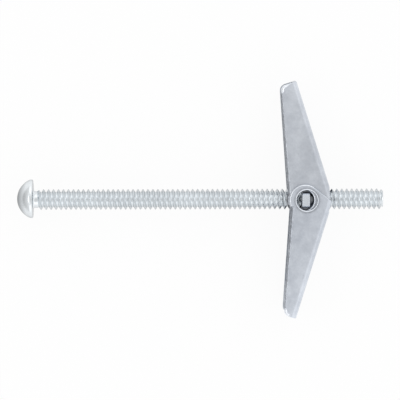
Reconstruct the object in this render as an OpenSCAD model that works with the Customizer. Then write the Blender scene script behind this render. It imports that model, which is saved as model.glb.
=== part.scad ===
// Spring toggle bolt: a round-head machine screw, a trunnion nut that runs on it,
// two folding sheet-steel wings hinged on the nut's lugs, and the torsion spring
// that opens them. The axis of the screw is X, its head is at the origin and its tip
// points along +X. The wings turn about Z and stand open towards +Y and -Y.

/* [Screw] */
// Outside diameter of the thread
thread_d = 4.4; // [3.6:0.1:5.6]
// Length of the screw under its head
screw_len = 74.5; // [61:0.5:150]
// Diameter of the plain neck under the head
neck_d = 3.5; // [2.8:0.1:3.6]
// Length of the plain neck
neck_len = 1.0; // [0.6:0.1:3]
// Distance from the thread out to the flat of the bearing face
seat_clear = 0.05; // [0.02:0.01:0.3]
// Bevel at the cut tip of the screw
tip_bevel = 0.5; // [0.1:0.1:1]

/* [Head] */
// Diameter of the round head
head_d = 8.26; // [7:0.02:10]
// Height of the round head
head_h = 3.41; // [2.8:0.01:4]
// Radius of the domed crown
crown_r = 4.75; // [4.4:0.05:6]
// Radius that blends the crown into the rim
shoulder_r = 1.0; // [0.6:0.1:1.4]
// Width of the driver slot
slot_w = 1.15; // [0.8:0.05:1.4]
// Depth of the driver slot
slot_depth = 1.6; // [1:0.1:2]

/* [Wings] */
// Distance along the screw from the bearing face of the head to the lugs
pivot_x = 58; // [33:0.5:70]
// Thickness of the wing sheet
sheet = 0.8; // [0.6:0.05:1]
// Inside radius of the folds
fold_r = 0.5; // [0.3:0.05:0.8]
// Length of the inner wing from its hinge hole to its tip
inner_len = 24.45; // [20:0.05:30]
// Length of the outer wing from its hinge hole to its tip
outer_len = 24.7; // [20:0.05:30]
// Distance from the hinge hole to the back of the inner wing
inner_back = 6.05; // [5.6:0.05:7.5]
// Distance from the hinge hole to the back of the outer wing
outer_back = 5.3; // [5:0.1:6.3]
// Angle between the back and the free edges of a wing
taper = 13.5; // [10:0.5:16]
// Lean of the free edges towards the head when the wings stand open
sweep = 3.9; // [0:0.1:8]
// Radius of the tip corner on the free edge
tip_r = 1.4; // [0.5:0.1:2]
// Sheet left around a hinge hole
ear_wall = 1.14; // [0.8:0.02:1.5]
// Offset of the rounded ear from its hole, towards the free edge
ear_shift = 0.36; // [0:0.02:0.5]
// Distance the free edges stand back from the ears
edge_inset = 0.4; // [0:0.05:0.6]
// Reach of the ears back past the hinge hole, along the back of the wing
heel = 1.3; // [0.5:0.1:2]
// Gap between the ears of the two wings
ear_gap = 0.08; // [0.05:0.01:0.2]

/* [Trunnion nut] */
// Thickness of the stamped plate and its lugs
plate_t = 1.7; // [1.4:0.1:2.2]
// Height of the lugs
lug_h = 2.94; // [2.4:0.02:3.6]
// Bevel at the ends of the lugs
lug_bevel = 0.35; // [0.1:0.05:0.5]
// Play at the corners of the lugs in the hinge holes
lug_play = 0.2; // [0.1:0.02:0.4]
// Rest offset of the inner wing's holes, towards the head
inner_play = 0.45; // [0:0.05:0.5]
// Rest offset of the outer wing's holes, towards the tip
outer_play = 0.2; // [0:0.05:0.5]
// Distance of the lug ends inside the outer ears' faces
lug_inset = 0.05; // [0:0.05:0.3]
// Plate left above and below the threaded hole
plate_wall = 1.45; // [1:0.05:2]
// Rounding of the plate's corners
plate_r = 1.2; // [0.5:0.1:1.5]
// Length of the threaded collar beyond the plate
collar_len = 1.75; // [1:0.05:2.4]
// Wall of the threaded collar
collar_wall = 0.45; // [0.3:0.05:0.6]
// Radial clearance between the nut and the thread
thread_clear = 0.05; // [0.02:0.01:0.1]
// Gap between the backs of the open wings and the screw, which stops them
stop_gap = 0.1; // [0.05:0.05:0.4]

/* [Torsion spring] */
// Diameter of the spring wire
wire_d = 0.4; // [0.3:0.02:0.5]
// Gap between the wire and its neighbours
wire_gap = 0.04; // [0.03:0.01:0.08]
// Gap between the coils and the corners of the lugs
coil_play = 0.4; // [0.2:0.05:0.5]
// Reach of the spring along the back of each wing
spring_reach = 9.5; // [7:0.5:12]
// Bend radius of the bridge
bridge_r = 0.8; // [0.6:0.1:1.2]

/* [Hidden] */
$fn = 64;

zinc = [0.76, 0.79, 0.83];
wing_zinc = [0.68, 0.71, 0.76];
wire_zinc = [0.5, 0.52, 0.56];
over = 1; // how far cutting shapes run past what they cut

thread_r = thread_d / 2;
head_r = head_d / 2;
neck_fillet = thread_r + seat_clear - neck_d / 2; // between the neck and the bearing face

// the plate is as wide as the collar, and both follow the thread
bore_r = thread_r + thread_clear;
collar_r = bore_r + collar_wall;
plate_h = 2 * (bore_r + plate_wall);

// stack along the hinge: nut, spring coil, inner wing's ear, outer wing's ear
coil_room = 2 * wire_d + 3 * wire_gap;
inner_half = collar_r + coil_room; // half the room inside the inner wing
outer_half = inner_half + sheet + ear_gap; // half the room inside the outer wing
lug_end = outer_half + sheet - lug_inset;

// the lug's furthest corner sets the hinge hole, and the hole sets the ear
hole_r = norm([plate_t / 2 + max(inner_play, outer_play), lug_h / 2]) + lug_play;
ear_r = hole_r + ear_wall;
free_edge = ear_r + ear_shift - edge_inset; // from the hinge hole to the free edges
lean = taper + sweep; // lean of the open wings' backs

// the spring's centreline: coils round the lugs, one layer for each leg
wire_r = wire_d / 2;
coil_r = norm([plate_t, lug_h]) / 2 + coil_play + wire_r;
bridge_z = collar_r + wire_gap + wire_r;
leg_z = inner_half - wire_gap - wire_r;
arc_steps = 6; // steps round the bridge's bends
coil_step = 9; // degrees between points of a coil
wire_sides = 8;

// direction at an angle from the first axis
function dir(a) = [cos(a), sin(a)];
function unit(v) = v / norm(v);

// point at a distance n behind the hinge hole and s along the back of a wing,
// in the wing's own frame: free edges along the second axis
function wing_point(n, s) = n * dir(taper) + s * dir(taper + 90);
// the same point on the open wing, seen along the hinge
function open_point(back, s, hole_x, side) =
    [hole_x + back * cos(lean) - s * sin(lean), side * (back * sin(lean) + s * cos(lean))];
// where a wing's back starts, so that it stops against the screw
function back_start(back) = (thread_r + stop_gap - (back - sheet) * sin(lean)) / cos(lean);

// ---------- screw ----------

// half section of the head, with its axis along the second axis and the slot's end up
module head_section() {
    crown_y = head_h - crown_r;
    shoulder_x = head_r - shoulder_r;
    shoulder_y = crown_y + sqrt(pow(crown_r - shoulder_r, 2) - pow(shoulder_x, 2));
    blend = crown_r / (crown_r - shoulder_r);
    edge = [shoulder_x * blend, crown_y + (shoulder_y - crown_y) * blend];
    intersection() {
        union() {
            square([head_r, shoulder_y]);
            square([shoulder_x, edge.y]);
            translate([shoulder_x, shoulder_y]) circle(shoulder_r);
            intersection() {
                translate([0, crown_y]) circle(crown_r);
                translate([0, edge.y]) square([edge.x, head_h]);
            }
            polygon([[0, 0], [shoulder_x, shoulder_y], edge, [0, edge.y]]);
        }
        square([head_r, head_h]);
    }
}

module neck_section() {
    square([neck_d / 2, neck_len + over / 2]);
    difference() {
        square([neck_d / 2 + neck_fillet, neck_fillet]);
        translate([neck_d / 2 + neck_fillet, neck_fillet]) circle(neck_fillet);
    }
}

module screw() {
    run_out = thread_r - neck_d / 2;
    color(zinc) {
        difference() {
            rotate([0, -90, 0]) rotate_extrude() head_section();
            translate([-head_h - over, -head_r - over, -slot_w / 2])
                cube([slot_depth + over, 2 * (head_r + over), slot_w]);
        }
        rotate([0, 90, 0]) rotate_extrude() neck_section();
        rotate([0, 90, 0]) rotate_extrude() polygon([
            [0, neck_len], [neck_d / 2, neck_len], [thread_r, neck_len + run_out],
            [thread_r, screw_len - tip_bevel], [thread_r - tip_bevel, screw_len],
            [0, screw_len]
        ]);
    }
}

// ---------- trunnion nut ----------

// outline of the plate seen along the screw, lugs up and down the second axis
module plate_outline() {
    half_h = plate_h / 2;
    square([plate_h, 2 * (collar_r - plate_r)], center = true);
    square([2 * (half_h - plate_r), 2 * collar_r], center = true);
    for (y = [-1, 1], z = [-1, 1])
        translate([y * (half_h - plate_r), z * (collar_r - plate_r)]) circle(plate_r);
    for (z = [-1, 1])
        polygon([
            [-lug_h / 2, 0], [-lug_h / 2, z * (lug_end - lug_bevel)],
            [-lug_h / 2 + lug_bevel, z * lug_end], [lug_h / 2 - lug_bevel, z * lug_end],
            [lug_h / 2, z * (lug_end - lug_bevel)], [lug_h / 2, 0]
        ]);
}

module trunnion_nut() {
    lead_in = 0.3; // bevels at both mouths of the thread
    length = plate_t + collar_len;
    color(zinc) translate([pivot_x - plate_t / 2, 0, 0]) rotate([90, 0, 90]) difference() {
        union() {
            linear_extrude(plate_t) plate_outline();
            cylinder(h = length, r = collar_r);
        }
        translate([0, 0, -over]) cylinder(h = length + 2 * over, r = bore_r);
        translate([0, 0, -over])
            cylinder(h = over + lead_in, r1 = bore_r + lead_in + over, r2 = bore_r);
    }
}

// ---------- wings ----------

// outline of a side wall in the wing's frame, running past the back by the overshoot
module wall_outline(back, length) {
    ear = [-ear_shift, 0];
    heel_corner = wing_point(back, -heel);
    reach = norm(heel_corner - ear);
    toward = atan2(heel_corner.y, heel_corner.x + ear_shift);
    tangent = ear + ear_r * dir(toward - acos(ear_r / reach));
    past_heel = heel_corner + over * unit(heel_corner - tangent);
    tip_u = tip_r - free_edge;
    tip_centre = [tip_u, (length - tip_r + tip_u * sin(taper)) / cos(taper)];
    polygon([
        tangent, past_heel, wing_point(back + over, 0), wing_point(back + over, length),
        tip_centre + tip_r * dir(taper + 90), tip_centre, [-free_edge, tip_centre.y],
        [-free_edge, 0], ear
    ]);
    translate(ear) circle(ear_r);
    translate(tip_centre) circle(tip_r);
}

// solid section of a channel, from its open side to its back along the first axis
module channel_core(back, half, r) {
    open = -ear_r - ear_shift - 2 * over;
    translate([open, r - half]) square([back - open, 2 * (half - r)]);
    translate([open, -half]) square([back - r - open, 2 * half]);
    for (side = [-1, 1]) translate([back - r, side * (half - r)]) circle(r);
}

module channel_section(back, half) {
    difference() {
        channel_core(back, half + sheet, fold_r + sheet);
        channel_core(back - sheet, half, fold_r);
    }
}

// wing in its own frame, with its hinge hole on the third axis
module wing(back, half, length) {
    foot = -2 * ear_r;
    top = length + over;
    start = back_start(back);
    difference() {
        intersection() {
            translate([0, 0, -half - sheet - over])
                linear_extrude(2 * (half + sheet + over)) wall_outline(back, length);
            rotate([0, 0, taper]) translate([0, top, 0]) rotate([90, 0, 0])
                linear_extrude(top - foot) channel_section(back, half);
        }
        translate([0, 0, -half - sheet - over])
            cylinder(h = 2 * (half + sheet + over), r = hole_r);
        // the back is cut away near the hinge, where the screw passes
        rotate([0, 0, taper]) translate([0, foot, -half])
            cube([back + over, start - foot, 2 * half]);
    }
}

module inner_wing() {
    color(wing_zinc) translate([pivot_x - inner_play, 0, 0]) rotate([0, 0, sweep])
        wing(inner_back, inner_half, inner_len);
}

module outer_wing() {
    color(wing_zinc) translate([pivot_x + outer_play, 0, 0]) rotate([180, 0, 0])
        rotate([0, 0, sweep]) wing(outer_back, outer_half, outer_len);
}

// ---------- torsion spring ----------

// where the wire's centreline touches the back of each open wing
bridge_end = open_point(inner_back - sheet - wire_gap - wire_r, spring_reach,
    pivot_x - inner_play, 1);
leg_end = open_point(outer_back - sheet - wire_gap - wire_r, spring_reach,
    pivot_x + outer_play, -1);

// angle round the coil at which a straight leg leaves it for a point
function leave_angle(p, side) =
    let (v = p - [pivot_x, 0]) atan2(v.y, v.x) - side * acos(coil_r / norm(v));

// half of the wire, on the +Z side: leg, coil, and half of the bridge
function half_wire() =
    let (
        from = leave_angle(leg_end, -1),
        to = leave_angle(bridge_end, 1) + 360,
        turns = ceil((to - from) / coil_step),
        up = unit(bridge_end - [pivot_x, 0] - coil_r * dir(to)),
        bend = bridge_end - bridge_r * up
    )
    concat(
        [[leg_end.x, leg_end.y, leg_z]],
        [for (i = [0:turns]) let (a = from + (to - from) * i / turns) concat(
            [pivot_x, 0] + coil_r * dir(a), leg_z + (bridge_z - leg_z) * i / turns)],
        [for (i = [0:arc_steps]) let (a = 90 * i / arc_steps) concat(
            bend + bridge_r * sin(a) * up, bridge_z - bridge_r * (1 - cos(a)))]
    );

function other_side(path) = [for (i = [len(path) - 1:-1:0]) [path[i].x, path[i].y, -path[i].z]];

// ring of points round each point of a path; each ring's first spoke is the last
// ring's, laid square to the path
module wire(path) {
    last = len(path) - 1;
    tangents = [for (i = [0:last]) unit(path[min(i + 1, last)] - path[max(i - 1, 0)])];
    spokes = [for (i = 0, spoke = [0, 0, 1]; i <= last;
        i = i + 1,
        spoke = i > last ? spoke : unit(spoke - (spoke * tangents[i]) * tangents[i])) spoke];
    rings = [for (i = [0:last], k = [0:wire_sides - 1])
        let (a = 360 * k / wire_sides, flat = cross(tangents[i], spokes[i]))
        path[i] + wire_r * (cos(a) * spokes[i] + sin(a) * flat)];
    sides = [for (i = [0:last - 1], k = [0:wire_sides - 1])
        let (a = i * wire_sides, b = (k + 1) % wire_sides)
        [a + k, a + k + wire_sides, a + b + wire_sides, a + b]];
    ends = [
        [for (k = [0:wire_sides - 1]) k],
        [for (k = [wire_sides - 1:-1:0]) last * wire_sides + k]
    ];
    polyhedron(rings, concat(sides, ends));
}

module torsion_spring() {
    half = half_wire();
    color(wire_zinc) wire(concat(half, other_side(half)));
}

screw();
trunnion_nut();
inner_wing();
outer_wing();
torsion_spring();
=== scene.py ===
"""Looks of a spring toggle bolt: a rolled thread, a slotted round head, a stamped
trunnion nut, two folded sheet-steel wings and the torsion spring between them.

Lengths are in millimetres until a mesh is made. X is the axis of the screw, with its
head at the origin, and the wings turn about Z."""

from math import acos, atan2, ceil, cos, degrees, hypot, pi, radians, sin, sqrt, tan, tau

import bmesh
import bpy
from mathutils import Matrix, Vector
from mathutils.geometry import delaunay_2d_cdt, intersect_line_line_2d


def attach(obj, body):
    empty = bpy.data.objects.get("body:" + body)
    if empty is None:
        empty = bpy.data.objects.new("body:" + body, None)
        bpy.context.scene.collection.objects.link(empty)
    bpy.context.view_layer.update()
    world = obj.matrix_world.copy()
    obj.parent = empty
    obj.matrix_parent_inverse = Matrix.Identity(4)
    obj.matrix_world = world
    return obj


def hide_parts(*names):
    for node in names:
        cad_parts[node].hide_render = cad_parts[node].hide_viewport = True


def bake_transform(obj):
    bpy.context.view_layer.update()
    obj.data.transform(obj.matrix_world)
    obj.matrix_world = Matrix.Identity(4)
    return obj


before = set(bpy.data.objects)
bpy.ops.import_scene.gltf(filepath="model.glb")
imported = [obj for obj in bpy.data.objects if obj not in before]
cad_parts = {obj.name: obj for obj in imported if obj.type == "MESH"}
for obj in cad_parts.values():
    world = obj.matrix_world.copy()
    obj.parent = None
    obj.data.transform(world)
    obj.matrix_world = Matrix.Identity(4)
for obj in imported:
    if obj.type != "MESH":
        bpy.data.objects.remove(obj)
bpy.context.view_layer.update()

MM = 0.001

# ---------------------------------------------------------------- sizes of the part
THREAD_R, ROOT_R, PITCH = 2.2, 1.59, 1.0583
SCREW_LEN, TIP_BEVEL = 74.5, 0.5
NECK_R, NECK_LEN, NECK_FILLET = 1.75, 1.0, 0.5
FIRST_CREST = 1.235         # where the thread's crest crosses the +Y side
CREST_ROUND, ROOT_ROUND = 0.098, 0.17       # radii of the thread's crest and root
RISE_LEAD, RISE_LEN = 0.1, 0.6      # start of the thread's rise in the neck, and length
SHANK_FROM = 0.3            # the shank starts inside the head's neck
TIP_RING = 0.9              # ring on the tip's flat end, as a share of its radius

HEAD_R, HEAD_H, CROWN_R = 4.1, 3.37, 4.4
OFF_CENTRE = 0.17           # the head stands this far to +Y of the thread's axis
SHOULDER, LIP_R = 0.2, 0.14         # height of the flat shoulder, and the lip under it
SLOT_W, SLOT_DEPTH, SLOT_EASE = 1.15, 1.6, 0.09

PIVOT_X = 58.0
SHEET, FOLD_R = 0.8, 0.5
BEND_R = FOLD_R + SHEET     # outside radius of the folds
INNER_LEN, OUTER_LEN = 24.45, 24.7
TAPER, SWEEP = radians(13.5), radians(3.9)
TIP_R, EAR_R, EAR_SHIFT, HEEL = 1.4, 3.302, 0.36, 1.3
FREE_EDGE = EAR_R + EAR_SHIFT - 0.4
HOLE_R = 2.162
STOP_GAP = 0.1
# a wing's back from its hinge, half its inner width, and its hole's shift on the lug
INNER_BACK, INNER_HALF, INNER_PLAY = 6.05, 3.62, 0.45
OUTER_BACK, OUTER_HALF, OUTER_PLAY = 5.3, 4.5, 0.2

PLATE_T, PLATE_HALF_H, PLATE_R = 1.7, 3.7, 1.2
LUG_H, LUG_END, LUG_BEVEL = 2.94, 5.25, 0.35
LUG_ROOT = 0.3              # fillet between the lug and the plate
BORE_R, COLLAR_R, COLLAR_LEN = 2.25, 2.7, 1.75
COLLAR_LAP = 0.03           # the collar starts this far inside the plate
COLLAR_OUTER, COLLAR_INNER = 0.2, 0.1       # roundings of the collar's end

WIRE_R, WIRE_GAP, COIL_R = 0.2, 0.04, 2.298
BRIDGE_Z, LEG_Z, BRIDGE_R, SPRING_REACH = 2.94, 3.38, 0.8, 9.5
CLIMB, WIND = radians(50), radians(130)     # arcs that climb, and that wind up


# ---------------------------------------------------------------- mesh tools
WELD = 1e4                  # corners are joined on a grid of this many to a millimetre
TINY = 1e-6
MITRE = 0.5                 # keeps the mitre of a very sharp corner short
CLEAR = 0.02                # least gap between outlines, marks and roundings on a face


class Shell:
    """Faces given by their corner points, in millimetres. Corners that meet are one.
    Each has a shade: above 0 it is darker there, and below 0 lighter. The dark is
    painted shade in hollows, round holes and on the thread's crests, and partly real
    wear on the free edges; the light is a painted highlight."""

    def __init__(self):
        self.points, self.faces, self.shades, self.index = [], [], [], {}

    def corner(self, point, shade):
        key = tuple(round(c * WELD) for c in point)
        if key not in self.index:
            self.index[key] = len(self.points)
            self.points.append(tuple(point))
            self.shades.append(shade)
        return self.index[key]

    def face(self, corners, shade=0.0):
        shades = shade if isinstance(shade, list) else [shade] * len(corners)
        ids = []
        for point, tone in zip(corners, shades):
            i = self.corner(point, tone)
            if i not in ids:
                ids.append(i)
        if len(ids) > 2:
            self.faces.append(ids)

    def strip(self, ring, next_ring, shade=0.0, next_shade=0.0):
        """Quads between two closed rings of as many points."""
        n = len(ring)
        tones = shade if isinstance(shade, list) else [shade] * n
        next_tones = next_shade if isinstance(next_shade, list) else [next_shade] * n
        for i in range(n):
            k = (i + 1) % n
            self.face([ring[i], ring[k], next_ring[k], next_ring[i]],
                      [tones[i], tones[k], next_tones[k], next_tones[i]])

    def build(self, name, sharp=35):
        mesh = bpy.data.meshes.new(name)
        mesh.from_pydata([[c * MM for c in p] for p in self.points], [], self.faces)
        # the shades carry painted shade and painted highlight, and in part real wear
        tone = mesh.attributes.new("wear_painted_shade_highlight", "FLOAT", "POINT")
        tone.data.foreach_set("value", self.shades)
        work = bmesh.new()
        work.from_mesh(mesh)
        bmesh.ops.recalc_face_normals(work, faces=work.faces)
        work.to_mesh(mesh)
        work.free()
        mesh.shade_smooth()
        mesh.set_sharp_from_angle(angle=radians(sharp))
        piece = bpy.data.objects.new(name, mesh)
        bpy.context.scene.collection.objects.link(piece)
        even = piece.modifiers.new("even_normals", "WEIGHTED_NORMAL")
        even.keep_sharp = True
        return piece


def arc(centre, radius, start, end, steps):
    """Points on an arc between two angles in degrees, both ends included."""
    return [(centre[0] + radius * cos(radians(start + (end - start) * i / steps)),
             centre[1] + radius * sin(radians(start + (end - start) * i / steps)))
            for i in range(steps + 1)]


def area(loop):
    """Area inside a loop, below 0 if it runs clockwise."""
    return sum(a[0] * b[1] - b[0] * a[1] for a, b in zip(loop, loop[1:] + loop[:1])) / 2


def inward(loop, distances):
    """The loop moved to its left by a distance at each point, its corners mitred."""
    moved = []
    for before, here, after, distance in zip(loop[-1:] + loop[:-1], loop,
                                             loop[1:] + loop[:1], distances):
        ax, ay = here[0] - before[0], here[1] - before[1]
        bx, by = after[0] - here[0], after[1] - here[1]
        la, lb = hypot(ax, ay), hypot(bx, by)
        nx, ny = -ay / la - by / lb, ax / la + bx / lb
        share = 2 / max(nx * nx + ny * ny, MITRE)
        moved.append((here[0] + nx * share * distance, here[1] + ny * share * distance))
    return moved


def inside(point, loop):
    """Whether a point lies inside a loop."""
    x, y = point
    odd = False
    for (x1, y1), (x2, y2) in zip(loop, loop[1:] + loop[:1]):
        if (y1 > y) != (y2 > y) and x < x1 + (y - y1) * (x2 - x1) / (y2 - y1):
            odd = not odd
    return odd


def clear_of(a, b, loop):
    """Whether the line from a to b crosses no side of the loop, and neither of its ends
    comes close to one."""
    a, b = Vector(a), Vector(b)
    for c, d in zip(loop, loop[1:] + loop[:1]):
        c, d = Vector(c), Vector(d)
        for end in (a, b):
            share = min(max((end - c).dot(d - c) / (d - c).length_squared, 0), 1)
            if (end - c.lerp(d, share)).length < CLEAR:
                return False
        if intersect_line_line_2d(a, b, c, d) is not None:
            return False
    return True


def flat_faces(loop, holes, marks, lines):
    """Triangles inside a loop and outside its holes, with edges along the marks, which
    are loops too, and along the lines, which join points of the loop by number. Where
    a mark comes to the loop, that stretch of it is left out."""
    points = [Vector(p) for p in loop]
    edges = [(i, (i + 1) % len(loop)) for i in range(len(loop))] + list(lines)
    for number, ring in enumerate(holes + marks):
        is_hole = number < len(holes)
        kept = [is_hole or inside(a, loop) and inside(b, loop) and clear_of(a, b, loop)
                for a, b in zip(ring, ring[1:] + ring[:1])]
        index = {}
        for i in range(len(ring)):
            if kept[i] or kept[i - 1]:
                index[i] = len(points)
                points.append(Vector(ring[i]))
        edges += [(index[i], index[(i + 1) % len(ring)])
                  for i in range(len(ring)) if kept[i]]
    found = delaunay_2d_cdt(points, edges, [], 0, TINY)
    corners, triangles = found[0], found[2]
    for t in triangles:
        flat = [tuple(corners[i]) for i in t]
        middle = (sum(p[0] for p in flat) / 3, sum(p[1] for p in flat) / 3)
        if inside(middle, loop) and not any(inside(middle, h) for h in holes):
            yield flat


# section of an eased edge, as shares of its width: distance in from the rim, depth
EASED = [(1, 0), (0.78, 0.06), (0.5, 0.175), (0.25, 0.32), (0.08, 0.52), (0, 0.8)]
PAINTED_SHADOW_RING = 0.5                # width of the ring of painted shadow round a hole
INSIDE_PAINTED_SHADE = 0.4                # painted shade on a sheet's rear face, inside the channel


def slab(shell, place, thickness, loop, holes, front, rear, lines=(), wear_and_painted_light=None,
         ring=0.0, painted_hole_highlight=0.0, back=0.0):
    """A sheet with rounded edges. place(u, v, depth) puts it in space. front and rear
    are the widths of the roundings at the two faces, for the rim and then the holes,
    and the rim's may be a list with one for each point. wear_and_painted_light is a
    shade for each point of the rim, which holds real wear and also painted shade and
    painted highlight, ring the painted shadow on the front face where a hole's
    rounding starts, painted_hole_highlight the painted highlight on the rounding
    itself, and back the painted shade of the rear face."""
    faces = {"front": [], "rear": []}
    for number, edge in enumerate([loop] + holes):
        count = len(edge)
        shade = wear_and_painted_light if wear_and_painted_light and number == 0 else [painted_hole_highlight if number else 0.0] * count
        wide, tight = [w if isinstance(w, list) else [w] * count
                       for w in (front[number > 0], rear[number > 0])]
        rings = []
        for k, (share, depth) in enumerate(EASED):
            tones = [s * min(1, k / 2) for s in shade]
            if number and k == 0:
                tones = [ring] * count
            if share == 0:
                tones = [max(s, back) for s in shade]
            rings.append((inward(edge, [w * share for w in wide]),
                          [w * depth for w in wide], tones))
        for k, (share, depth) in reversed(list(enumerate(EASED))):
            rings.append((inward(edge, [w * share for w in tight]),
                          [thickness - w * depth for w in tight],
                          [max(s, back) if k else back for s in shade]))
        faces["front"].append(rings[0][0])
        faces["rear"].append(rings[-1][0])
        for (a, da, sa), (b, db, sb) in zip(rings, rings[1:]):
            shell.strip([place(*p, d) for p, d in zip(a, da)],
                        [place(*p, d) for p, d in zip(b, db)], sa, sb)
    for name, depth, shade in (("front", 0.0, 0.0), ("rear", thickness, back)):
        outline, *cut = faces[name]
        # marks round the holes, where the painted shadow ring fades out
        marks = [inward(hole, [PAINTED_SHADOW_RING] * len(hole)) for hole in cut] if ring else []
        for triangle in flat_faces(outline, cut, marks, lines):
            shell.face([place(*p, depth) for p in triangle], shade)


def turned(shell, profile, sides, place):
    """A closed profile of (radius, height) turned round an axis."""
    rings = []
    for radius, height in profile:
        rings.append([place(radius * cos(tau * i / sides), radius * sin(tau * i / sides),
                            height) for i in range(sides)])
    for ring, next_ring in zip(rings, rings[1:] + rings[:1]):
        shell.strip(ring, next_ring)


# ---------------------------------------------------------------- screw
def thread_profile():
    """(distance from the crest, radius) over one pitch: 60 degree flanks between a
    rounded crest and a rounder root."""
    half = [(CREST_ROUND * sin(radians(a)),
             THREAD_R - CREST_ROUND * (1 - cos(radians(a)))) for a in (0, 20, 40, 60)]
    half += [(PITCH / 2 - ROOT_ROUND * sin(radians(a)),
              ROOT_R + ROOT_ROUND * (1 - cos(radians(a)))) for a in (60, 40, 20)]
    back = [(PITCH - x, r) for x, r in half[:0:-1]]
    return half + [(PITCH / 2, ROOT_R)] + back


PROFILE = thread_profile()


def smooth(t):
    """Eased rise from 0 to 1."""
    t = min(max(t, 0.0), 1.0)
    return t * t * (3 - 2 * t)


def thread_radius(x, angle):
    """Radius of the shank at a point: its thread, its neck or its bevelled tip."""
    at = (x - FIRST_CREST - PITCH * angle / tau) % PITCH
    ends = PROFILE + [(PITCH, THREAD_R)]
    for (x0, r0), (x1, r1) in zip(ends, ends[1:]):
        if at <= x1:
            radius = r0 + (r1 - r0) * (at - x0) / (x1 - x0)
            break
    radius = min(radius, THREAD_R - TIP_BEVEL + max(0.0, SCREW_LEN - x))
    return NECK_R + (radius - NECK_R) * smooth((x - NECK_LEN + RISE_LEAD) / RISE_LEN)


CREST_PAINTED_SHADE = 0.25          # painted shade: the crests are darker than the roots


def shank(shell):
    """Columns of points that follow the thread's profile, one for each angle."""
    sides = 40
    turns = ceil((SCREW_LEN - SHANK_FROM) / PITCH) + 3
    start = FIRST_CREST - 2 * PITCH
    while start > SHANK_FROM - PITCH:
        start -= PITCH
    columns = []
    for i in range(sides + 1):
        angle = tau * i / sides
        column = []
        for turn in range(turns + 1):
            for x, _ in PROFILE:
                at = start + (turn + i / sides) * PITCH + x
                at = min(max(at, SHANK_FROM), SCREW_LEN)
                r = thread_radius(at, angle)
                column.append((at, r * cos(angle), r * sin(angle)))
        columns.append(column)
    for left, right in zip(columns, columns[1:]):
        for j in range(len(left) - 1):
            face = [left[j], left[j + 1], right[j + 1], right[j]]
            shell.face(face, [CREST_PAINTED_SHADE * (hypot(y, z) - ROOT_R) / (THREAD_R - ROOT_R)
                              for _, y, z in face])
    shell.face([column[0] for column in columns[:-1]])
    rim = [column[-1] for column in columns[:-1]]
    inner = [(SCREW_LEN, y * TIP_RING, z * TIP_RING) for _, y, z in rim]
    shell.strip(rim, inner)
    shell.face(inner)


def head_profile():
    """(radius, height) from the crown, over an eased shoulder, to the neck."""
    crown = HEAD_H - CROWN_R
    slope = tan(radians(21))                    # of the flat round the shoulder
    side = HEAD_R - SHOULDER * slope
    level = crown + sqrt(CROWN_R ** 2 - side ** 2)
    join = degrees(atan2(level - crown, side))
    points = arc((0, crown), CROWN_R, 90, join, 22)[1:]
    points += [(side + SHOULDER * slope * t, level - SHOULDER * t)
               for t in (0.15, 0.85, 1)]
    points += [(HEAD_R, level - SHOULDER - 0.05)]
    points += arc((HEAD_R - LIP_R, LIP_R), LIP_R, 0, -90, 4)
    points += [(r, -h) for r, h in arc((NECK_R + NECK_FILLET, NECK_FILLET), NECK_FILLET,
                                       -90, -180, 6)]
    return points


def head(shell):
    """The head is turned, and then its slot is cut and the slot's edges eased."""
    sides = 96
    blank = Shell()
    rings = []
    for r, h in head_profile():
        aside = OFF_CENTRE * min(max(1 + h / NECK_FILLET, 0), 1)
        rings.append([(-h, aside + r * cos(tau * i / sides), r * sin(tau * i / sides))
                      for i in range(sides)])
    for ring, next_ring in zip(rings, rings[1:]):
        blank.strip(ring, next_ring)
    apex = (-HEAD_H, OFF_CENTRE, 0)
    for i in range(sides):
        blank.face([rings[0][i], rings[0][(i + 1) % sides], apex])
    blank.face(rings[-1])
    solid = blank.build("head_blank")
    solid.modifiers.clear()

    cutter = Shell()
    reach, low, high = HEAD_R + 1, -HEAD_H - 1, -HEAD_H + SLOT_DEPTH
    half = SLOT_W / 2
    ends = [[(low, y, -half), (high, y, -half), (high, y, half), (low, y, half)]
            for y in (-reach, reach)]
    cutter.strip(*ends)
    cutter.face(ends[0])
    cutter.face(ends[1])
    knife = cutter.build("slot_cutter")

    cut = solid.modifiers.new("slot", "BOOLEAN")
    cut.object, cut.operation, cut.solver = knife, "DIFFERENCE", "EXACT"
    ease = solid.modifiers.new("ease", "BEVEL")
    ease.width, ease.segments = SLOT_EASE * MM, 3
    ease.limit_method, ease.angle_limit = "ANGLE", radians(40)
    done = solid.evaluated_get(bpy.context.evaluated_depsgraph_get()).to_mesh()
    for polygon in done.polygons:
        shell.face([tuple(c / MM for c in done.vertices[i].co) for i in polygon.vertices])
    solid.to_mesh_clear()
    for spare in (solid, knife):
        bpy.data.objects.remove(spare, do_unlink=True)


def screw():
    shell = Shell()
    head(shell)
    shank(shell)
    return shell.build("machine_screw", sharp=50)


# ---------------------------------------------------------------- nut
def nut_outline():
    """Plate and lugs seen along the screw, anticlockwise."""
    half = LUG_H / 2
    corner = PLATE_HALF_H - PLATE_R
    quarter = [(0, LUG_END)]
    quarter += [(half - LUG_BEVEL, LUG_END), (half, LUG_END - LUG_BEVEL)]
    quarter += arc((half + LUG_ROOT, COLLAR_R + LUG_ROOT), LUG_ROOT, 180, 270, 5)
    quarter += arc((corner, COLLAR_R - PLATE_R), PLATE_R, 90, 0, 10)
    quarter += [(PLATE_HALF_H, 0)]
    right = quarter + [(u, -v) for u, v in quarter[-2::-1]]
    loop = right + [(-u, v) for u, v in right[-2:0:-1]]
    return loop[::-1]


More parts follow.
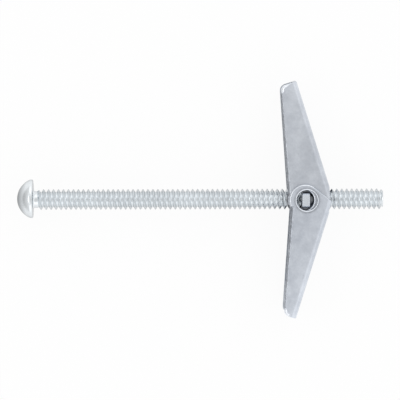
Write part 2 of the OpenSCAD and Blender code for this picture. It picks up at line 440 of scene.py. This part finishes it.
def nut():
    """The stamped plate with its lugs, and the collar on its side towards the tip."""
    shell = Shell()
    sides = 64
    face = PIVOT_X - PLATE_T / 2
    rear = face + PLATE_T
    bore = arc((0, 0), BORE_R, 0, -360, sides)[:-1]
    slab(shell, lambda u, v, d: (face + d, u, v), PLATE_T, nut_outline(), [bore],
         front=(0.24, 0.28), rear=(0.24, 0.02))
    end = rear + COLLAR_LEN
    collar = [(BORE_R, rear - COLLAR_LAP), (COLLAR_R, rear - COLLAR_LAP)]
    collar += arc((COLLAR_R - COLLAR_OUTER, end - COLLAR_OUTER), COLLAR_OUTER, 0, 90, 4)
    collar += arc((BORE_R + COLLAR_INNER, end - COLLAR_INNER), COLLAR_INNER, 90, 180, 3)
    turned(shell, collar, sides, lambda u, v, h: (h, u, v))
    return shell.build("trunnion_plate")


# ---------------------------------------------------------------- wings
BEND_STEPS = 8
FOLD_LENGTH = pi / 2 * (FOLD_R + SHEET / 2)
RELIEF = 0.3                # radius at the end of the cut through the fold
FREE_STEPS, TIP_STEPS = 40, 10

# widths of the roundings at a wing's outer face
BACK_EDGE = 0.15            # both ends of the back and of the folds
HOLE_EDGE = 0.3
FREE_WIDTH, FREE_LOSS = 0.8, 0.45       # a free edge at the hinge, and its loss to the tip
TIP_EDGE = 0.7              # corner of the tip

# marks on a wing's edges: the free edges darker, partly for their rough sheared face
# and partly as painted shade of the channel behind them, and the tip's corners a
# painted highlight
FREE_EDGE_WEAR_AND_SHADE, TIP_PAINTED_HIGHLIGHT = 0.65, -1.0
HOLE_PAINTED_SHADOW, HOLE_PAINTED_HIGHLIGHT = 0.6, -0.6       # painted shadow where a hole's rounding starts, and painted highlight on it


def wing(name, back, half, length, hole_x, side, ear_painted_light, ear_width):
    """A wing is cut as a flat blank and folded. On the blank, u runs across the
    channel from a free edge to the other, and v runs along its back. side is 1 for the
    wing that opens to +Y and -1 for the other, and the ear's rim has its own painted
    light, shade above 0 and highlight below 0, and its own width of rounding."""
    bend = back - BEND_R                # where the fold starts
    level = half + SHEET - BEND_R       # the folds' centres are this far from the middle
    middle = bend + FOLD_LENGTH + level
    lean = TAPER + SWEEP
    start = (THREAD_R + STOP_GAP - (back - SHEET) * sin(lean)) / cos(lean)

    def place(u, v, depth):
        """Fold the blank, lay it along the back's lean and set it on its hinge."""
        over = min(u, 2 * middle - u)
        turn = min(max((over - bend) / FOLD_LENGTH, 0), 1) * pi / 2
        n = min(over, bend) + (BEND_R - depth) * sin(turn)
        z = level + (BEND_R - depth) * cos(turn) - max(over - bend - FOLD_LENGTH, 0)
        if u > middle:
            z = -z
        return (hole_x + n * cos(lean) - v * sin(lean),
                side * (n * sin(lean) + v * cos(lean)), side * z)

    def blank(x, y):
        """Point of the wall, free edge along y, on the blank."""
        return x * cos(TAPER) + y * sin(TAPER), y * cos(TAPER) - x * sin(TAPER)

    ear = (-EAR_SHIFT, 0)
    heel = (back * cos(TAPER) + HEEL * sin(TAPER), back * sin(TAPER) - HEEL * cos(TAPER))
    reach = hypot(heel[0] - ear[0], heel[1])
    leave = degrees(atan2(heel[1], heel[0] - ear[0]) - acos(EAR_R / reach))
    tangent = blank(ear[0] + EAR_R * cos(radians(leave)), EAR_R * sin(radians(leave)))
    corner = (back, -HEEL)
    slope = (corner[1] - tangent[1]) / (corner[0] - tangent[0])

    # rim of one wall, from the middle of the back by the hinge round to its tip
    fold = [bend + FOLD_LENGTH * k / BEND_STEPS for k in range(BEND_STEPS + 1)]
    cut = round(BEND_STEPS * 0.75)      # the fold is cut through here beside the hinge
    rim = [(middle, start)] + [(u, start) for u in fold[:cut:-1]]
    rim = [p for p in rim if p[0] > fold[cut] + RELIEF + CLEAR]
    rim += arc((fold[cut] + RELIEF, start - RELIEF), RELIEF, 90, 180, 5)
    heel_part = []
    for k in range(cut, -1, -1):
        n = bend + BEND_R * sin(pi / 2 * k / BEND_STEPS)
        heel_part.append((fold[k], tangent[1] + slope * (n - tangent[0])))
    rim += heel_part
    first_heel = len(rim) - len(heel_part)
    first_ear = len(rim)
    meet = degrees(acos((EAR_SHIFT - FREE_EDGE) / EAR_R)) - 360
    rim += [blank(*p) for p in arc(ear, EAR_R, leave, meet, 30)]
    edge_from = len(rim) - 1
    edge_start = EAR_R * sin(radians(meet))
    tip_x = TIP_R - FREE_EDGE
    tip = (tip_x, (length - TIP_R + tip_x * sin(TAPER)) / cos(TAPER))
    rim += [blank(-FREE_EDGE, edge_start + (tip[1] - edge_start) * k / FREE_STEPS)
            for k in range(1, FREE_STEPS)]
    edge_to = len(rim)
    rim += [blank(*p) for p in arc(tip, TIP_R, 180, 90 + degrees(TAPER), TIP_STEPS)]
    first_tip = len(rim)
    rim += [(u, length) for u in fold]

    # the rounding of the ear's rim leaves room for that of the hole
    heel_near = EAR_R - EAR_SHIFT * cos(radians(leave))
    wear_and_painted_light, widths = [], []
    for i in range(len(rim)):
        wear_and_painted_light.append(ear_painted_light if first_ear + 1 < i < edge_from else
                    FREE_EDGE_WEAR_AND_SHADE if edge_from <= i < edge_to else
                    TIP_PAINTED_HIGHLIGHT if edge_to <= i < first_tip else 0.0)
        if i < first_heel:
            widths.append(BACK_EDGE)
        elif i < edge_from:
            near = heel_near if i <= first_ear else hypot(*rim[i])
            widths.append(min(ear_width, near - HOLE_R - HOLE_EDGE - CLEAR))
        elif i < edge_to:
            widths.append(FREE_WIDTH
                          - FREE_LOSS * (i - edge_from) / (edge_to - edge_from))
        elif i < first_tip:
            widths.append(TIP_EDGE)
        else:
            widths.append(BACK_EDGE)
    loop = rim + [(2 * middle - u, v) for u, v in rim[:0:-1]]
    wear_and_painted_light = wear_and_painted_light + wear_and_painted_light[:0:-1]
    widths = widths + widths[:0:-1]
    # lines along the folds, from the tip's end to the heel or the back's edge
    lines = []
    for k in range(BEND_STEPS + 1):
        top = first_tip + k
        if k <= cut:
            low = first_heel + cut - k
        else:
            low = next((i for i in range(1, first_heel)
                        if abs(rim[i][0] - fold[k]) < TINY), None)
        if low is not None:
            lines.append((top, low))
            lines.append((len(loop) - top, len(loop) - low))
    # anticlockwise, so that its left is inside
    total = len(loop)
    if area(loop) < 0:
        loop, wear_and_painted_light, widths = loop[::-1], wear_and_painted_light[::-1], widths[::-1]
        lines = [(total - 1 - a, total - 1 - b) for a, b in lines]

    hole = [blank(*p) for p in arc((0, 0), HOLE_R, 0, -360, 56)[:-1]]
    other = [(2 * middle - u, v) for u, v in hole[::-1]]
    shell = Shell()
    slab(shell, place, SHEET, loop, [hole, other], front=(widths, HOLE_EDGE),
         rear=(0.06, 0.05), lines=lines, wear_and_painted_light=wear_and_painted_light, ring=HOLE_PAINTED_SHADOW, painted_hole_highlight=HOLE_PAINTED_HIGHLIGHT,
         back=INSIDE_PAINTED_SHADE)
    return shell.build(name)


# ---------------------------------------------------------------- spring
RUN_STEPS, BEND_POINTS = 6, 9       # along a straight run, and round the bridge's bend


def open_point(back, along, hole_x, side):
    """Point of an open wing, from its hinge out towards its back and along it."""
    lean = TAPER + SWEEP
    return (hole_x + back * cos(lean) - along * sin(lean),
            side * (back * sin(lean) + along * cos(lean)))


def wire_path():
    """Centreline of half of the spring, on the +Z side: its leg, its coil and half of
    the bridge. The coil lies flat but for its middle, where it climbs. Also the numbers
    of the points where the stretch that winds up starts, is halfway and ends."""
    inset = SHEET + WIRE_GAP + WIRE_R
    bridge = open_point(INNER_BACK - inset, SPRING_REACH, PIVOT_X - INNER_PLAY, 1)
    leg = open_point(OUTER_BACK - inset, SPRING_REACH, PIVOT_X + OUTER_PLAY, -1)

    def leaves(point, turn):
        x, y = point[0] - PIVOT_X, point[1]
        return atan2(y, x) - turn * acos(COIL_R / hypot(x, y))

    start, end = leaves(leg, -1), leaves(bridge, 1) + tau
    middle = (start + end) / 2

    def on_coil(angle):
        climb = min(max((angle - middle) / CLIMB + 0.5, 0), 1)
        return Vector((PIVOT_X + COIL_R * cos(angle), COIL_R * sin(angle),
                       LEG_Z + (BRIDGE_Z - LEG_Z) * climb))

    first, last = on_coil(start), on_coil(end)
    leg = Vector((*leg, LEG_Z))
    path = [leg.lerp(first, k / RUN_STEPS) for k in range(RUN_STEPS)]
    marks = []
    stops = [start, middle - WIND / 2, middle, middle + WIND / 2, end]
    for low, high in zip(stops, stops[1:]):
        steps = ceil((high - low) / radians(6))
        path += [on_coil(low + (high - low) * k / steps) for k in range(steps)]
        marks.append(len(path))
    path.append(last)
    up = (Vector((*bridge, BRIDGE_Z)) - last).normalized()
    bend = Vector((*bridge, BRIDGE_Z)) - BRIDGE_R * up
    path += [last.lerp(bend, k / RUN_STEPS) for k in range(1, RUN_STEPS)]
    for i in range(BEND_POINTS):
        a = pi / 2 * i / (BEND_POINTS - 1)
        path.append(bend + BRIDGE_R * sin(a) * up
                    - Vector((0, 0, BRIDGE_R * (1 - cos(a)))))
    path.append(Vector((path[-1].x, path[-1].y, 0)))
    return path, marks[:3]


END_ROUND = ((0.55, 0.0), (0.85, 0.03))     # share of the radius, distance from the end
END_LEN = 0.09


def wire(name, path, round_start):
    """Round wire along a path. Its start is rounded where the wire really ends."""
    sides = 14
    shell = Shell()
    spoke = Vector((0, 0, 1))
    rings = []
    count = len(path)
    for i, point in enumerate(path):
        along = (path[min(i + 1, count - 1)] - path[max(i - 1, 0)]).normalized()
        spoke = (spoke - spoke.dot(along) * along).normalized()
        flat = along.cross(spoke)
        ring = [point + WIRE_R * (cos(tau * k / sides) * spoke + sin(tau * k / sides) * flat)
                for k in range(sides)]
        if i == 0 and round_start:
            for share, move in END_ROUND:
                rings.append([point + (p - point) * share + along * move for p in ring])
            ring = [p + along * END_LEN for p in ring]
        rings.append(ring)
    for ring, next_ring in zip(rings, rings[1:]):
        shell.strip(ring, next_ring)
    shell.face(rings[0])
    shell.face(rings[-1])
    return shell.build(name)


def springs():
    """Each end of a coil turns with its wing; the stretch between them is made in two halves
    that stay where they are made.
    """
    path, (first, half, last) = wire_path()
    for word, sign in (("upper", 1), ("lower", -1)):
        sided = [Vector((p.x, p.y, sign * p.z)) for p in path]
        for part, body, points in (("leg", "outer_wing", sided[:first + 1]),
                                   ("bridge", "inner_wing", sided[last:])):
            piece = wire("spring_%s_%s" % (part, word), points, part == "leg")
            fit(piece, body, spring_steel, "spring_wire", "torsion_spring")
        for part, body, low, high in (("leg_coil", "outer_wing", first, half),
                                      ("bridge_coil", "inner_wing", half, last)):
            piece = wire("spring_%s_%s" % (part, word), sided[low:high + 1], False)
            dress(piece, spring_steel, "spring_wire", "torsion_spring")
            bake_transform(piece)


# ---------------------------------------------------------------- materials
def grey(level):
    return (level, level, level, 1)


def nodes_of(name):
    """A new material, its node tree and its shader."""
    material = bpy.data.materials.new(name)
    material.use_nodes = True
    tree = material.node_tree
    return material, tree, tree.nodes["Principled BSDF"]


def link(tree, source, socket):
    tree.links.new(source, socket)


def noise(tree, scale, detail, rough=0.5):
    """Noise through the piece, with this many features to a metre."""
    place = tree.nodes.new("ShaderNodeTexCoord")
    made = tree.nodes.new("ShaderNodeTexNoise")
    made.inputs["Scale"].default_value = scale
    made.inputs["Detail"].default_value = detail
    made.inputs["Roughness"].default_value = rough
    link(tree, place.outputs["Object"], made.inputs["Vector"])
    return made.outputs["Fac"]


def ranged(tree, source, low, high, new_low, new_high):
    """A value moved from one range to another, and held within it."""
    made = tree.nodes.new("ShaderNodeMapRange")
    for socket, value in zip(("From Min", "From Max", "To Min", "To Max"),
                             (low, high, new_low, new_high)):
        made.inputs[socket].default_value = value
    link(tree, source, made.inputs["Value"])
    return made.outputs["Result"]


def blended(tree, share, low, high):
    """Mix of two colours, each a colour or a socket."""
    mix = tree.nodes.new("ShaderNodeMix")
    mix.data_type = "RGBA"
    sockets = [s for s in mix.inputs if s.type == "RGBA"]
    link(tree, share, mix.inputs["Factor"])
    for socket, value in zip(sockets, (low, high)):
        if hasattr(value, "links"):
            link(tree, value, socket)
        else:
            socket.default_value = (*value, 1)
    return next(s for s in mix.outputs if s.type == "RGBA")


def combined(tree, operation, first, second=0.0):
    """Result of a maths node on numbers or sockets."""
    made = tree.nodes.new("ShaderNodeMath")
    made.operation = operation
    for socket, value in zip(made.inputs, (first, second)):
        if hasattr(value, "links"):
            link(tree, value, socket)
        else:
            socket.default_value = value
    return made.outputs["Value"]


def times(tree, first, second):
    return combined(tree, "MULTIPLY", first, second)


def along(tree, axis):
    """Position of a point of the piece on one of its own axes, in metres."""
    place = tree.nodes.new("ShaderNodeTexCoord")
    split = tree.nodes.new("ShaderNodeSeparateXYZ")
    link(tree, place.outputs["Object"], split.inputs[0])
    return split.outputs[axis]


def bump(tree, shader, height, strength, distance):
    made = tree.nodes.new("ShaderNodeBump")
    made.inputs["Strength"].default_value = strength
    made.inputs["Distance"].default_value = distance
    link(tree, height, made.inputs["Height"])
    link(tree, made.outputs["Normal"], shader.inputs["Normal"])


# tones for the mesh's shades, wear and painted shade, and painted highlight, and for painted
# shade along an axis
WEAR_AND_PAINTED_SHADE_TONE = (0.12, 0.126, 0.137)
PAINTED_HIGHLIGHT_TONE = (0.92, 0.95, 1.0)
AXIS_PAINTED_SHADE_TONE = (0.02, 0.02, 0.025)
PAINTED_HIGHLIGHT_ROUGH = 0.6       # roughness left under a painted highlight
GRAIN_DEPTH = 0.00003       # in metres, at a grain of 1


def zinc(name, light, dark, shine, grain, shows_painted_light_and_wear=False, painted_shade_axis=None, rim=1.0, mottle=0.5):
    """Zinc plate: soft cloudy tone, uneven shine and a fine grain. shine is the lowest
    and highest roughness, grain the strength of the bump, rim the tint of the shine at
    a grazing angle, and mottle how broken the clouds are. Where it shows painted light
    and wear, it follows the shades of the mesh: darker for wear and painted shade, and
    lighter for a painted highlight. painted_shade_axis gives an axis, the places on it
    in millimetres where the painted shade is full and where it ends, and how dark it is."""
    material, tree, shader = nodes_of(name)
    shader.inputs["Metallic"].default_value = 1
    shader.inputs["Specular Tint"].default_value = grey(rim)
    cloud = noise(tree, 260, 6, rough=mottle)
    tone = blended(tree, ranged(tree, cloud, 0.35, 0.65, 0, 1), dark, light)
    rough = ranged(tree, noise(tree, 900, 5), 0.3, 0.7, *shine)
    if shows_painted_light_and_wear:
        wear_and_painted_light = tree.nodes.new("ShaderNodeAttribute")
        wear_and_painted_light.attribute_name = "wear_painted_shade_highlight"
        wear_and_painted_light = wear_and_painted_light.outputs["Fac"]
        patches = ranged(tree, noise(tree, 1500, 4, rough=0.65), 0.38, 0.6, 0.55, 1)
        share = times(tree, ranged(tree, wear_and_painted_light, 0, 1, 0, 1), patches)
        tone = blended(tree, share, tone, WEAR_AND_PAINTED_SHADE_TONE)
        # painted highlight where the mesh's shade is below 0
        tone = blended(tree, ranged(tree, wear_and_painted_light, 0, -1, 0, 1), tone, PAINTED_HIGHLIGHT_TONE)
        rough = times(tree, rough, ranged(tree, wear_and_painted_light, 0, -1, 1, PAINTED_HIGHLIGHT_ROUGH))
    # painted shade along an axis of the piece
    if painted_shade_axis:
        axis, full, none, depth = painted_shade_axis
        place = along(tree, axis)
        if axis != "X":                 # the two sides are alike
            place = combined(tree, "ABSOLUTE", place)
        share = ranged(tree, place, full * MM, none * MM, depth, 0)
        tone = blended(tree, share, tone, AXIS_PAINTED_SHADE_TONE)
    link(tree, tone, shader.inputs["Base Color"])
    link(tree, rough, shader.inputs["Roughness"])
    bump(tree, shader, noise(tree, 2600, 4, rough=0.7), grain, GRAIN_DEPTH)
    return material


# painted shade on the head's crown, darkest at its end, standing in for a dark reflection
screw_zinc = zinc("screw_zinc", (0.865, 0.9, 0.925), (0.805, 0.84, 0.865), (0.16, 0.28), 0.3,
                  shows_painted_light_and_wear=True, painted_shade_axis=("X", -3.4, -1.4, 0.68), rim=0.7)
# painted shade on the nut between the wings; only the lug ends are left bright
nut_zinc = zinc("nut_zinc", (0.8, 0.845, 0.9), (0.72, 0.765, 0.82), (0.2, 0.34), 0.35,
                painted_shade_axis=("Z", 3.0, 4.6, 0.7))
# painted shade on the wings towards the hinge, so that their tips read lighter
wing_zinc = zinc("wing_zinc", (0.75, 0.788, 0.847), (0.6, 0.635, 0.693), (0.28, 0.42), 1.0,
                 shows_painted_light_and_wear=True, painted_shade_axis=("Y", 10, 24, 0.1), mottle=0.72)
outer_zinc = zinc("outer_wing_zinc", (0.795, 0.84, 0.91), (0.635, 0.675, 0.745),
                  (0.28, 0.42), 1.0, shows_painted_light_and_wear=True, painted_shade_axis=("Y", 10, 24, 0.1), mottle=0.72)
spring_steel = zinc("spring_steel", (0.3, 0.31, 0.34), (0.24, 0.25, 0.28), (0.25, 0.4), 0.3)


def dress(piece, material, slot, *replaced):
    """Give a piece its material, and hide the CAD nodes it stands for. slot is not used."""
    piece.data.materials.append(material)
    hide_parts(*replaced)


def fit(piece, body, material, slot, replaced):
    """Dress a piece that moves with one body."""
    dress(piece, material, slot, replaced)
    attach(piece, body)


fit(screw(), "screw", screw_zinc, "screw_zinc", "screw")
fit(nut(), "nut", nut_zinc, "nut_zinc", "trunnion_nut")
# painted shade on the inner wing's ear rim, where the outer wing's ear stands over it
fit(wing("wing_inner", INNER_BACK, INNER_HALF, INNER_LEN, PIVOT_X - INNER_PLAY,
         side=1, ear_painted_light=1.0, ear_width=0.6),
    "inner_wing", wing_zinc, "wing_zinc", "inner_wing")
# painted highlight on the outer wing's ear rim
fit(wing("wing_outer", OUTER_BACK, OUTER_HALF, OUTER_LEN, PIVOT_X + OUTER_PLAY,
         side=-1, ear_painted_light=-1.0, ear_width=0.2),
    "outer_wing", outer_zinc, "wing_zinc", "outer_wing")
springs()


# ---------------------------------------------------------------- stage
OWN_WHITE = 0.92            # share of the floor's look that no shadow reaches
FLOOR_REACH = 1.5
FLOOR_LEVEL = -5.3 * MM     # the outer wing's lower wall lies on it


def stage_material():
    """White floor: paper under soft light, and partly a plain white of its own to the
    camera and in reflections."""
    material, tree, shader = nodes_of("floor_white")
    shader.inputs["Base Color"].default_value = (0.94, 0.94, 0.94, 1)
    shader.inputs["Roughness"].default_value = 0.9
    shader.inputs["Specular IOR Level"].default_value = 0.0
    path = tree.nodes.new("ShaderNodeLightPath")
    seen = combined(tree, "MAXIMUM", path.outputs["Is Camera Ray"],
                    path.outputs["Is Glossy Ray"])
    seen = combined(tree, "MAXIMUM", seen, path.outputs["Is Transmission Ray"])
    white = tree.nodes.new("ShaderNodeEmission")
    mix = tree.nodes.new("ShaderNodeMixShader")
    link(tree, times(tree, seen, OWN_WHITE), mix.inputs["Fac"])
    link(tree, shader.outputs[0], mix.inputs[1])
    link(tree, white.outputs[0], mix.inputs[2])
    link(tree, mix.outputs[0], tree.nodes["Material Output"].inputs["Surface"])
    return material


floor_mesh = bpy.data.meshes.new("floor")
floor_mesh.from_pydata([(x * FLOOR_REACH, y * FLOOR_REACH, FLOOR_LEVEL)
                        for x, y in ((-1, -1), (1, -1), (1, 1), (-1, 1))],
                       [], [(0, 1, 2, 3)])
floor = bpy.data.objects.new("floor", floor_mesh)
bpy.context.scene.collection.objects.link(floor)
floor_mesh.materials.append(stage_material())


def ramp(tree, value, stops):
    """A grey ramp over a value from 0 to 1."""
    node = tree.nodes.new("ShaderNodeValToRGB")
    link(tree, value, node.inputs["Fac"])
    marks = node.color_ramp.elements
    for mark, (position, level) in zip(marks, (stops[0], stops[-1])):
        mark.position, mark.color = position, grey(level)
    for position, level in stops[1:-1]:
        marks.new(position).color = grey(level)
    return node.outputs["Color"]


TENT = 1.85                 # strength of a level of 1 in the ramps below


def sky():
    """A light tent. Along the sides it is brightest part of the way up, and dimmer
    towards both ends. At the head's end there is a bright panel with a dark one above
    it. The heading is 1 towards the tip and -1 towards the head."""
    world = bpy.data.worlds.new("tent")
    bpy.context.scene.world = world
    world.use_nodes = True
    tree = world.node_tree
    back = tree.nodes["Background"]
    place = tree.nodes.new("ShaderNodeTexCoord")
    split = tree.nodes.new("ShaderNodeSeparateXYZ")
    link(tree, place.outputs["Generated"], split.inputs[0])
    x, y, z = (split.outputs[axis] for axis in "XYZ")
    flat = combined(tree, "SQRT", combined(tree, "ADD", times(tree, x, x),
                                           times(tree, y, y)))
    heading = combined(tree, "DIVIDE", x, flat)
    sides = ramp(tree, z, [(0, 0.54), (0.15, 0.59), (0.4, 0.65), (0.6, 0.73), (0.75, 0.69),
                           (0.87, 0.51), (0.95, 0.455), (1, 0.455)])
    end = ramp(tree, z, [(0, 0.27), (0.3, 0.33), (0.64, 0.42), (0.69, 1.15), (0.79, 1.15),
                         (0.84, 0.35), (0.95, 0.35), (1, 0.455)])
    to_head = ranged(tree, heading, -0.95, -0.7, 1.0, 0.0)
    slanting = ranged(tree, heading, -0.6, -0.15, 0.72, 1.0)
    to_tip = ranged(tree, heading, 0.3, 0.8, 1.0, 0.8)
    sides = times(tree, sides, times(tree, slanting, to_tip))
    level = blended(tree, to_head, sides, end)
    link(tree, times(tree, level, TENT), back.inputs["Strength"])
    back.inputs["Color"].default_value = (1, 1, 1, 1)


sky()


# ---------------------------------------------------------------- camera
VIEW_WIDTH = 85.2 * MM      # across the picture, in the plane of the screw's axis
DISTANCE = 0.6
LEAN, ROLL = radians(3.4), radians(-0.12)
AIM = Vector((35.66, -0.17, 0)) * MM
camera_data = bpy.data.cameras.new("camera")
camera_data.sensor_width = 36
camera_data.lens = camera_data.sensor_width * DISTANCE / VIEW_WIDTH
camera_data.clip_end = 20
camera = bpy.data.objects.new("camera", camera_data)
camera.location = AIM + Vector((0, sin(LEAN), cos(LEAN))) * DISTANCE
camera.rotation_euler = (-LEAN, 0, ROLL)
bpy.context.scene.collection.objects.link(camera)
bpy.context.scene.camera = camera
bpy.context.scene.view_settings.view_transform = "Standard"
